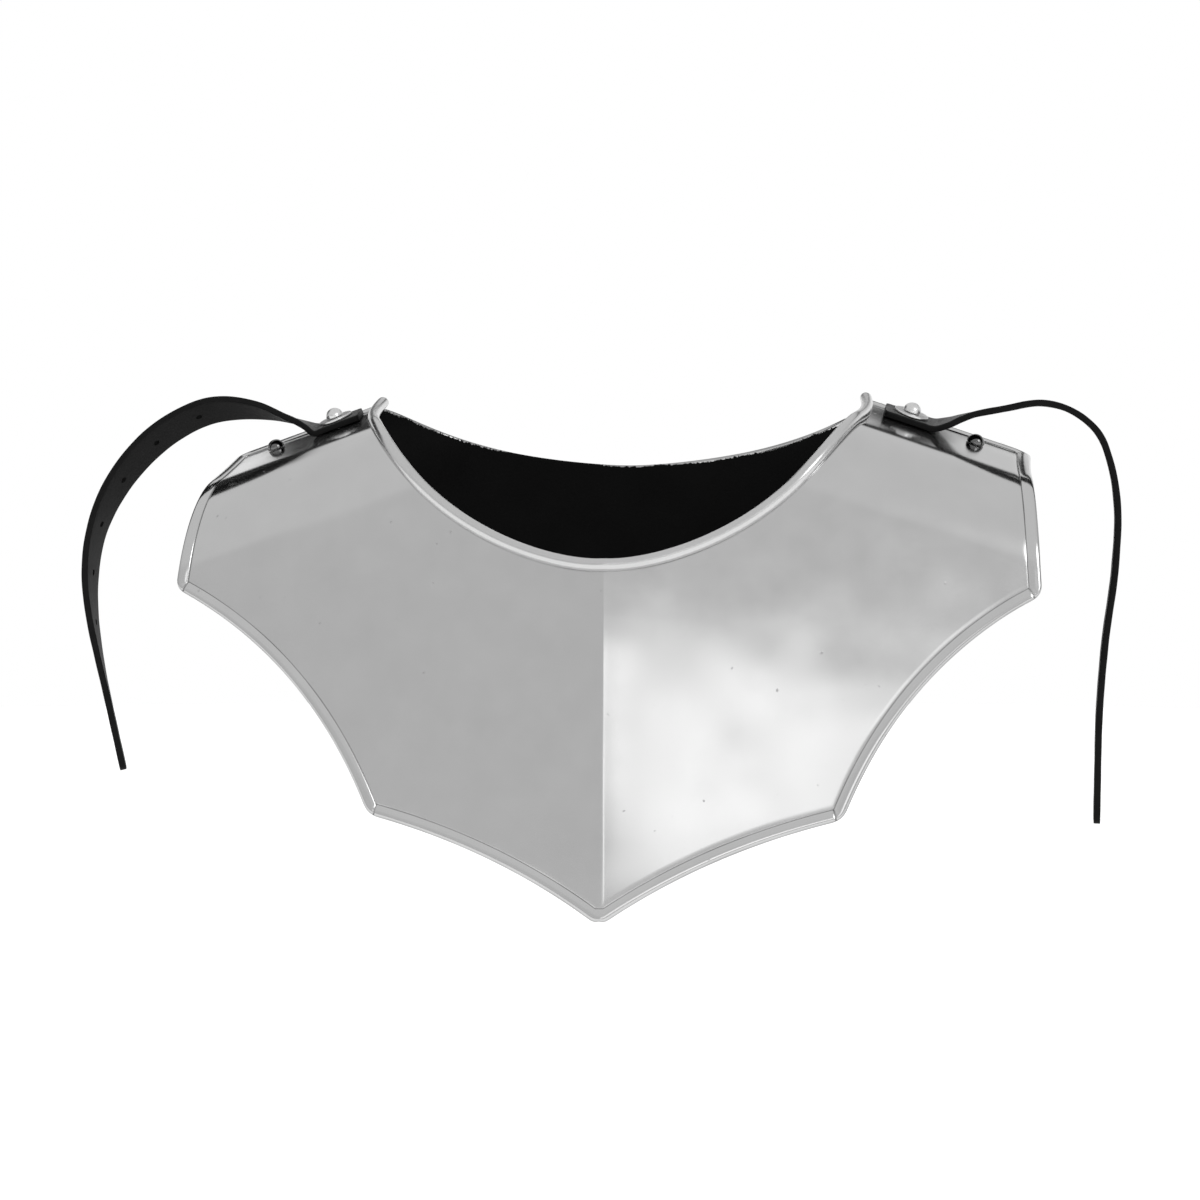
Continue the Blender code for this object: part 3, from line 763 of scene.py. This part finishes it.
def groove_shade_share(edge):
    """How much painted shade darkens the line where a hem's raw edge meets the face, a bell curve of the
    distance.
    """
    return np.exp(-(((edge - GROOVE_AT) / GROOVE_WIDTH) ** 2)) * 0.8


def on_both(upper, lower):
    """One number for each point of a wall: the upper grid's, then the lower grid's."""
    return np.concatenate([upper.reshape(-1), lower.reshape(-1)])


def crown_rounded(places, width):
    """Rounds the crowns' two rear outer corners: the square's rings of equal larger share become circles."""
    p = np.clip(1 - (width - np.abs(places[..., 0])) / CROWN_ROUND, 0.0, 1.0)
    q = np.clip(1 - places[..., 1] / CROWN_ROUND, 0.0, 1.0)
    shrink = 1 - np.maximum(p, q) / np.maximum(np.hypot(p, q), 1e-9)
    shift = np.stack([-np.sign(places[..., 0]) * p, q], axis=-1) * CROWN_ROUND
    return places + shift * np.where(np.minimum(p, q) > 0, shrink, 0.0)[..., None]


def flared(places):
    """Carries the wearer's left crown outward past its rivet: the share of the way out times a bell curve of
    the length along."""
    share = np.maximum((places[..., 0] - FLARE_FROM) / (HALF_WIDTH - FLARE_FROM), 0.0)
    out = FLARE * share * np.exp(-((places[..., 1] / FLARE_LENGTH) ** 2))
    return places + np.stack([out, np.zeros_like(out)], axis=-1)


def front_edge_distance(places):
    """Distance of each place from the nearest fold, at the outline or the seam, and none beside the roll."""
    from_outline = np.full(places.shape[:2], 1.0)
    from_outline[-len(DEPTHS):] = DEPTHS[::-1][:, None]
    from_roll = np.full(places.shape[:2], 1.0)
    from_roll[:len(LIP_ROWS)] = LIP_ROWS[:, None]
    from_seam = np.where(places[..., 1] < HEM_REACH + 1e-6, places[..., 1], 1.0)
    from_seam = np.where(from_roll < LIP * 1.1, 1.0, np.maximum(from_seam, DEPTHS[0]))
    return np.minimum(from_outline, from_seam)


def neck_roll(neck, into, places):
    """The roll's two skins: part circles round a line of centres over the neckline, from the free edge to the
    face, which shrink over the last stretch of both ends as a quarter circle does."""
    to_end = np.clip(neck[:, 1] / ROLL_CAP, 0.0, 1.0)
    full = (ROLL_CAP_SHARE + (1 - ROLL_CAP_SHARE) * np.sqrt(to_end * (2 - to_end)))[:, None]
    normal = upward(front_sheet, places)
    centre = front_sheet(places) + normal * ROLL_RADIUS * full
    angles = np.linspace(ROLL_END, -math.pi / 2, ROLL_STEPS + 1)[:-1, None, None]
    spoke = (-into * np.cos(angles) + normal * np.sin(angles)) * full
    return centre + spoke * (ROLL_RADIUS - SHEET / 2), centre + spoke * (ROLL_RADIUS + SHEET / 2)


def front_wear(edge, notch):
    """Attributes of the breast plate: painted shade on its outer rim and in its crevices, the roll, and the
    paint inside.
    """
    roll = np.zeros((ROLL_STEPS, edge.shape[1]))
    crevice_shade = np.concatenate([roll, np.clip(groove_shade_share(edge) + notch * 1.1, 0.0, 1.0)])
    # Painted shade on the face under the roll, then on the roll's free edge on its outer skin
    crevice_shade[ROLL_STEPS:ROLL_STEPS + 3] = 0.9
    beneath = np.zeros(crevice_shade.shape)
    beneath[0] = 1.0
    beneath[1] = 0.4
    rolled = np.concatenate([roll + 1.0, np.zeros(edge.shape)])
    rim = np.concatenate([roll, rim_shade_share(edge)])
    hidden = np.minimum(edge, DEEP_PAINT)
    hidden[:len(LIP_ROWS)] = DEEP_PAINT
    return {
        "rim": on_both(rim, rim),
        "crevice_shade": on_both(crevice_shade, beneath),
        "rolled": on_both(rolled, rolled),
        "inner": on_both(np.full(crevice_shade.shape, NO_PAINT), np.concatenate([roll + NO_PAINT, hidden])),
    }


def front_plate(look):
    """The breast plate: the sheet between flat hems and a neck roll of about five sixths of a turn."""
    seams = np.concatenate([[HEM_REACH], DEPTHS[::-1][1:]])
    sizes = (HALF_WIDTH, FRONT_LENGTH, NECK_HALF, FRONT_NECK)
    far, neck, notches = both_sides(front_sheet, FRONT_CORNERS, FRONT_NECKLINE, sizes, seams)
    for row, depth in enumerate(DEPTHS[::-1]):
        far[row] = rounded(front_sheet, far[row], CORNER_ROUND - 1.2 * depth)
    into = neck_inward(front_sheet, neck, far[0])
    near = np.stack([stepped(front_sheet, neck, into * reach) for reach in LIP_ROWS])
    places = filled(near, far)
    edge = front_edge_distance(places)
    notch = np.zeros(edge.shape)
    notch[-len(DEPTHS):] = notches * (DEPTHS[::-1] > NOTCH_INSET)[:, None]
    outer, inner = hem_skins(edge)
    places = flared(crown_rounded(places, HALF_WIDTH))
    upper, lower = skins(front_sheet, places, outer - notch * NOTCH_DEPTH, inner)
    roll_inside, roll_outside = neck_roll(neck, into, places[0])
    upper = np.concatenate([roll_inside, upper])
    lower = np.concatenate([roll_outside, lower])
    return walled("breast_plate", upper, lower, look, front_wear(edge, notch))


def back_wear(places, edge, hemmed):
    """Attributes of the nape plate: painted shade on its outer rim and in the groove by the hem's edge, and
    paint that wraps over the rim at one side.
    """
    rim = rim_shade_share(edge) * hemmed
    groove = groove_shade_share(edge) * hemmed
    lost = np.clip((places[..., 0] - LOSS_FROM) / LOSS_RUN, 0.0, 1.0)
    wrap = PAINT_WRAP - PAINT_LOSS * lost
    by_neck = slice(0, len(DEPTHS))
    over = np.full(edge.shape, NO_PAINT)
    over[by_neck] = (wrap - edge)[by_neck]
    inside = np.minimum(edge, DEEP_PAINT)
    inside[by_neck] += wrap[by_neck]
    return {
        "rim": on_both(rim, rim),
        "crevice_shade": on_both(groove, np.zeros(edge.shape)),
        "inner": on_both(over, inside),
    }


def back_plate(look):
    """The nape plate: hemmed along its neckline and outline, plain in the tongues under the front plate."""
    start = TONGUE + SEAM_CLEAR
    seams = np.concatenate([[start + 0.006], start + DEPTHS[::-1][1:], np.linspace(start - 0.001, 0.0, 9)])
    sizes = (HALF_WIDTH - BACK_SIDE_INSET, BACK_LENGTH + TONGUE, NECK_HALF + TONGUE_INSET, BACK_NECK + TONGUE)

    def sheet(places):
        """The back sheet, with lengths counted from the tongues' ends."""
        return back_sheet(places - (0.0, TONGUE))

    far, neck, _ = both_sides(sheet, BACK_CORNERS, BACK_NECKLINE, sizes, seams)
    into = neck_inward(sheet, neck, far[0])
    near = np.stack([stepped(sheet, neck, into * depth) for depth in DEPTHS])
    places = filled(near, far)
    edge = np.full(places.shape[:2], 1.0)
    edge[:len(DEPTHS)] = DEPTHS[:, None]
    edge[-len(DEPTHS):] = DEPTHS[::-1][:, None]
    hemmed = np.clip((places[..., 1] - start) / TONGUE_FADE, 0.0, 1.0)
    hemmed = hemmed * hemmed * (3 - 2 * hemmed)
    outer, inner = hem_skins(edge)
    outer = SHEET / 2 + (outer - SHEET / 2) * hemmed
    inner = -SHEET / 2 + (inner + SHEET / 2) * hemmed
    upper, lower = skins(sheet, places, outer, inner)
    return walled("nape_plate", upper, lower, look, back_wear(places, edge, hemmed))


# Rivets and washers


def seat(side, out):
    """The middle of the front sheet over a rivet, and the normal there."""
    place = np.array([side * out, RIVET_INSET])
    return front_sheet(place), upward(front_sheet, place)


def turned(name, profile, base, axis, look, around=64, closed=False):
    """A solid of revolution: the profile's rows (radius, height) carried round the axis."""
    axis = unit(np.asarray(axis, float))
    side = unit(np.cross(axis, (0.0, 1.0, 0.0)))
    other = np.cross(axis, side)
    angles = np.linspace(0.0, 2 * math.pi, around, endpoint=False)
    circle = np.cos(angles)[:, None] * side + np.sin(angles)[:, None] * other
    profile = np.asarray(profile, float)
    rings = base + profile[:, 1, None, None] * axis + profile[:, 0, None, None] * circle
    at = ring_numbers(len(profile), around)
    if closed:
        faces = [grid_faces(np.concatenate([at, at[:1]]))]
    else:
        faces = [grid_faces(at), at[:1, -2::-1], at[-1:, :-1]]
    made = mesh_object(name, rings, faces, look)
    made.data.set_sharp_from_angle(angle=TURNED_SHARP)
    return made


def arc(centre, radius, start, end, count):
    """Profile rows on an arc between two angles in degrees."""
    angles = np.radians(np.linspace(start, end, count))
    return np.stack([centre[0] + radius[0] * np.cos(angles), centre[1] + radius[1] * np.sin(angles)], axis=1)


def rivet(name, side, out, under_head, look):
    """A hand-set rivet: round head with a narrow foot, and a spread tail inside."""
    base, axis = seat(side, out)
    inside = -(SHEET / 2 + GAP + SHEET + GAP)
    above = under_head + DOME_FOOT
    tail = arc((0.0, inside), (TAIL_RADIUS, TAIL_HEIGHT), -88, 0, 12)
    foot = arc((DOME_RADIUS - DOME_FOOT, above), (DOME_FOOT, DOME_FOOT), -90, 0, 5)
    dome = arc((0.0, above), (DOME_RADIUS, DOME_HEIGHT - DOME_FOOT), 4, 89, 20)
    shank = np.array([[SHANK_RADIUS, inside], [SHANK_RADIUS, under_head]])
    return turned(name, np.concatenate([tail, shank, foot, dome]), base, axis, look)


def washer(name, side, look):
    """A flat ring whose outer rim is eased above and below."""
    base, axis = seat(side, STRAP_RIVET_OUT)
    low = SHEET / 2 + GAP + LEATHER + GAP
    high = low + WASHER_THICKNESS
    out = WASHER_RADIUS - WASHER_EASE
    bore = SHANK_RADIUS + GAP
    lower_rim = arc((out, low + WASHER_EASE), (WASHER_EASE, WASHER_EASE), -90, 0, 6)
    upper_rim = arc((out, high - WASHER_EASE), (WASHER_EASE, WASHER_EASE), 0, 90, 6)
    profile = np.concatenate([lower_rim, upper_rim, [[bore, high], [bore, low]]])
    return turned(name, profile, base, axis, look, around=96, closed=True)


# Straps


def smooth_through(knots, steps):
    """A cubic with matched slopes through rows of knots, at equal steps of the length between them."""
    spans = np.linalg.norm(np.diff(knots[:, :3], axis=0), axis=1)
    where = np.concatenate([[0.0], np.cumsum(spans)])
    slope = np.gradient(knots, where, axis=0)
    at = np.linspace(0.0, where[-1], steps)
    i = np.clip(np.searchsorted(where, at, side="right") - 1, 0, len(spans) - 1)
    h = spans[i][:, None]
    t = ((at - where[i]) / spans[i])[:, None]
    return (
        (1 + 2 * t) * (1 - t) ** 2 * knots[i]
        + t * (1 - t) ** 2 * h * slope[i]
        + t * t * (3 - 2 * t) * knots[i + 1]
        + t * t * (t - 1) * h * slope[i + 1]
    )


def strap_course(strap):
    """Centre points, unit width directions and the upper face's normals, from the neck end to the tip."""
    height = SHEET / 2 + GAP + LEATHER / 2
    seated = []
    for past in (-STRAP_OVERHANG, 0.0, STRAP_GRIP * 0.8, STRAP_GRIP):
        base, axis = seat(strap.side, STRAP_RIVET_OUT + past)
        seated.append(base + axis * height)
    flat = unit(np.cross(axis, seated[-1] - seated[0])) * strap.side
    free = [
        seated[1] + (strap.side * strap.reach * st.out, -strap.ahead * st.ahead, -strap.drop * st.down)
        for st in strap.stations
    ]
    centres = np.array(seated + free)
    heading = unit(np.gradient(centres, axis=0))
    spread = math.radians(strap.spread)
    rest = unit(np.array([strap.side * math.sin(spread), math.cos(spread), STRAP_RISE]))
    widths = [flat] * len(seated)
    for row, st in zip(heading[len(seated):], strap.stations):
        level = unit(rest - row * (rest @ row))
        turn = math.radians(st.twist) * -strap.side
        widths.append(level * math.cos(turn) + np.cross(row, level) * math.sin(turn))
    course = smooth_through(np.concatenate([centres, np.array(widths)], axis=1), COURSE_STEPS)
    centres, widths = course[:, :3], course[:, 3:]
    end = unit(centres[-1] - centres[-2])
    centres = np.concatenate([centres, [centres[-1] + end * STRAP_TIP]])
    widths = np.concatenate([widths, widths[-1:]])
    return smooth_course(centres, widths, strap.side)


def smooth_course(centres, widths, side):
    """The same course with many even steps, its width directions square to its heading."""
    fine = smooth_through(np.concatenate([centres, widths], axis=1), STRAP_RINGS)
    centres, widths = fine[:, :3], fine[:, 3:]
    heading = unit(np.gradient(centres, axis=0))
    widths = unit(widths - heading * (widths * heading).sum(axis=1, keepdims=True))
    return centres, widths, np.cross(heading, widths) * side


def strap_section(count_edge=7, count_face=11):
    """The strap in section: (across, up, cut edge, grain side), a rectangle with burnished, rounded edges."""
    half = STRAP_WIDTH / 2 - STRAP_EASE
    thick = LEATHER / 2
    angles = np.radians(np.linspace(-90, 90, count_edge * 2))
    across = half + STRAP_EASE * np.cos(angles)
    up = np.sign(np.sin(angles)) * (thick - STRAP_EASE) + STRAP_EASE * np.sin(angles)
    face = np.linspace(half, -half, count_face)[1:-1]
    right = np.stack([across, up, np.cos(angles) ** 0.5, np.where(up > 0, 1.0, 0.0)], axis=1)
    top = np.stack([face, np.full(len(face), thick), np.zeros(len(face)), np.ones(len(face))], axis=1)
    left = right[::-1] * (-1.0, 1.0, 1.0, 1.0)
    bottom = top[::-1] * (1.0, -1.0, 1.0, 0.0)
    return np.concatenate([right, top, left, bottom])


def narrowed(lengths):
    """Share of the strap's width left at each length: a quarter circle is taken off each end's corners."""
    share = np.ones(len(lengths))
    for distance, radius in ((lengths, NECK_END_ROUND), (lengths[-1] - lengths, TIP_ROUND)):
        left = np.maximum(radius - distance, 0.0)
        taken = radius - np.sqrt(np.clip(radius**2 - left**2, 0.0, None))
        share *= 1 - taken / (STRAP_WIDTH / 2)
    return share


def strap_piece(name, strap, look):
    """A leather ribbon: its section carried along the course, narrowed to round its ends and up to three per
    cent thicker or thinner along the way, then punched."""
    centres, widths, faces_up = strap_course(strap)
    lengths = run_lengths(centres)
    section = strap_section()
    thickened = 1 + 0.03 * np.sin(lengths * 310.0) * np.sin(lengths * 127.0)
    across = section[None, :, 0] * narrowed(lengths)[:, None]
    up = section[None, :, 1] * thickened[:, None]
    rings = centres[:, None] + widths[:, None] * across[..., None] + faces_up[:, None] * up[..., None]
    at = ring_numbers(*rings.shape[:2])
    attributes = {
        "cut_edge": np.broadcast_to(section[None, :, 2], rings.shape[:2]),
        "grain_side": np.broadcast_to(section[None, :, 3], rings.shape[:2]),
    }
    made = mesh_object(name, rings, [grid_faces(at), at[:1, -2::-1], at[-1:, :-1]], look, attributes)
    places = STRAP_OVERHANG + HOLE_FIRST + HOLE_PITCH * np.arange(HOLE_COUNT)
    base, axis = seat(strap.side, STRAP_RIVET_OUT)
    middles = [base, *at_length(places, lengths, centres)]
    facings = [axis, *at_length(places, lengths, faces_up)]
    radii = [SHANK_RADIUS + GAP] + [HOLE_RADIUS] * HOLE_COUNT
    punched(made, middles, facings, radii, look)
    made.data.set_sharp_from_angle(angle=LEATHER_SHARP)
    return made


def punched(made, middles, facings, radii, look):
    """Cuts round holes through a piece, one cutter at a time, and keeps the cut mesh."""
    for middle, facing, radius in zip(middles, facings, radii):
        profile = [(radius, -3 * LEATHER), (radius, 3 * LEATHER)]
        cutter = turned("cutter", profile, middle, facing, look, around=32)
        for label, given in (("cut_edge", 1.0), ("grain_side", 0.0)):
            layer = cutter.data.attributes.new(label, "FLOAT", "POINT")
            layer.data.foreach_set("value", np.full(len(cutter.data.vertices), given, np.float32))
        cut = made.modifiers.new("hole", "BOOLEAN")
        cut.operation = "DIFFERENCE"
        cut.solver = "EXACT"
        cut.object = cutter
        ready = made.evaluated_get(bpy.context.evaluated_depsgraph_get())
        mesh = bpy.data.meshes.new_from_object(ready)
        made.modifiers.remove(cut)
        made.data = mesh
        bpy.data.objects.remove(cutter)


# Studio


def lamp(nodes, direction, azimuth, elevation, inner, outer):
    """A round lamp: full where the direction is within the inner angle of the lamp's, none past the outer."""
    a = math.radians(azimuth)
    e = math.radians(elevation)
    aim = (math.sin(a) * math.cos(e), -math.cos(a) * math.cos(e), math.sin(e))
    facing = nodes.add("ShaderNodeVectorMath", {"operation": "DOT_PRODUCT"}, {0: direction, 1: aim}, out=1)
    return facing.clip(math.cos(math.radians(outer)), math.cos(math.radians(inner)))


def room_light(nodes, direction):
    """Brightness of the room round the collar: windows with soft edges on the direction's three parts, each a
    product of rises and falls, added to an even light."""
    across, behind, height = (
        nodes.add("ShaderNodeSeparateXYZ", {}, {"Vector": direction}, out=axis) for axis in range(3)
    )
    # A dark strip behind, tilted and raised to both sides, that reaches lower beside each strap
    by_left_strap = across.clip(0.180, 0.187) * across.clip(0.225, 0.205)
    by_right_strap = across.clip(-0.365, -0.350) * across.clip(-0.20, -0.25)
    lowered = height + (by_left_strap + by_right_strap) * 0.08
    side_rise = across.clip(-0.38, -0.50) * 0.18 + across.clip(0.10, 0.22) * 0.10
    dark_strip = (lowered - across * 0.20).clip(0.41, 0.45) * (height - side_rise).clip(0.53, 0.48)
    dark_strip = dark_strip * behind.clip(0.05, 0.20)
    # A pale backdrop below the strip, and a little more light from above
    backdrop = behind.clip(0.30, 0.70) * height.clip(0.40, 0.34)
    upper_light = height.clip(0.26, 0.40)
    # A wide soft box in front, low on the wearer's left, with a slanting lower edge and a dimmer stripe
    width = across.clip(0.02, 0.09) * across.clip(0.31, 0.23) * behind.clip(0.0, -0.3)
    soft_box = width * (height - across * 0.45).clip(0.008, 0.038) * height.clip(0.228, 0.192)
    dim_stripe = across.clip(0.140, 0.165) * across.clip(0.210, 0.190)
    box_light = soft_box * (1 - dim_stripe * 0.28)
    key = lamp(nodes, direction, 40.0, 20.0, 8.0, 16.0)
    light = 0.69 + upper_light * 0.09 + backdrop * 0.35 + box_light * 1.05 + key * 3.5
    return light * (1 - dark_strip * 0.97)


def studio():
    """A white floor and a plain white backdrop for the camera, and the room's light in the steel."""
    scene = bpy.context.scene
    scene.view_settings.view_transform = "Standard"
    world = bpy.data.worlds.new("studio")
    scene.world = world
    world.use_nodes = True
    nodes = Nodes(world.node_tree)
    light = room_light(nodes, nodes.add("ShaderNodeTexCoord", out=0))
    camera_ray = nodes.add("ShaderNodeLightPath", out=0)
    background = world.node_tree.nodes["Background"]
    nodes.feed(background.inputs["Strength"], camera_ray * 1.0 + (1 - camera_ray) * light)
    background.inputs["Color"].default_value = (1.0, 1.0, 1.0, 1.0)

    look, _, sockets, _ = new_material("studio_floor", Roughness=0.9)
    sockets["Base Color"].default_value = grey(0.9)
    sockets["Emission Color"].default_value = grey(1.0)
    sockets["Emission Strength"].default_value = 0.50
    ring = np.linspace(0.0, 2 * math.pi, FLOOR_CORNERS, endpoint=False)
    level = np.full(FLOOR_CORNERS, FLOOR_HEIGHT)
    disc = np.stack([FLOOR_RADIUS * np.cos(ring), FLOOR_RADIUS * np.sin(ring), level], axis=1)
    mesh_object("studio_floor", disc, [np.arange(FLOOR_CORNERS)[None, :]], look)


# The collar


def strap_set(strap, leather, light_rivet, dark_rivet):
    """One shoulder's strap, washer and rivets, each with the node that it replaces and the name of its slot,
    which nothing applies.
    """
    hand = "left" if strap.side > 0 else "right"
    on_plate = SHEET / 2 + GAP
    on_washer = on_plate + LEATHER + GAP + WASHER_THICKNESS + GAP
    ribbon = strap_piece(f"leather_{hand}", strap, leather)
    ring = washer(f"washer_{hand}", strap.side, light_rivet)
    strap_dome = rivet(f"strap_dome_{hand}", strap.side, STRAP_RIVET_OUT, on_washer, light_rivet)
    shoulder_dome = rivet(f"shoulder_dome_{hand}", strap.side, SHOULDER_RIVET_OUT, on_plate, dark_rivet)
    return [
        (ribbon, f"strap_{hand}", "black_leather"),
        (ring, f"strap_washer_{hand}", "rivet_steel"),
        (strap_dome, f"strap_rivet_{hand}", "rivet_steel"),
        (shoulder_dome, f"shoulder_rivet_{hand}", "rivet_steel"),
    ]


place_camera()
studio()
plate_look = plate_steel()
leather_look = black_leather()
light_look = rivet_steel("rivet_steel_light", 0.72, 0.28)
dark_look = rivet_steel("rivet_steel_dark", 0.15, 0.06)
pieces = [
    (front_plate(plate_look), "front_plate", "polished_steel"),
    (back_plate(plate_look), "back_plate", "polished_steel"),
]
for strap in STRAPS:
    pieces += strap_set(strap, leather_look, light_look, dark_look)
for piece, node, slot in pieces:
    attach(piece, "root")
    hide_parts(node)
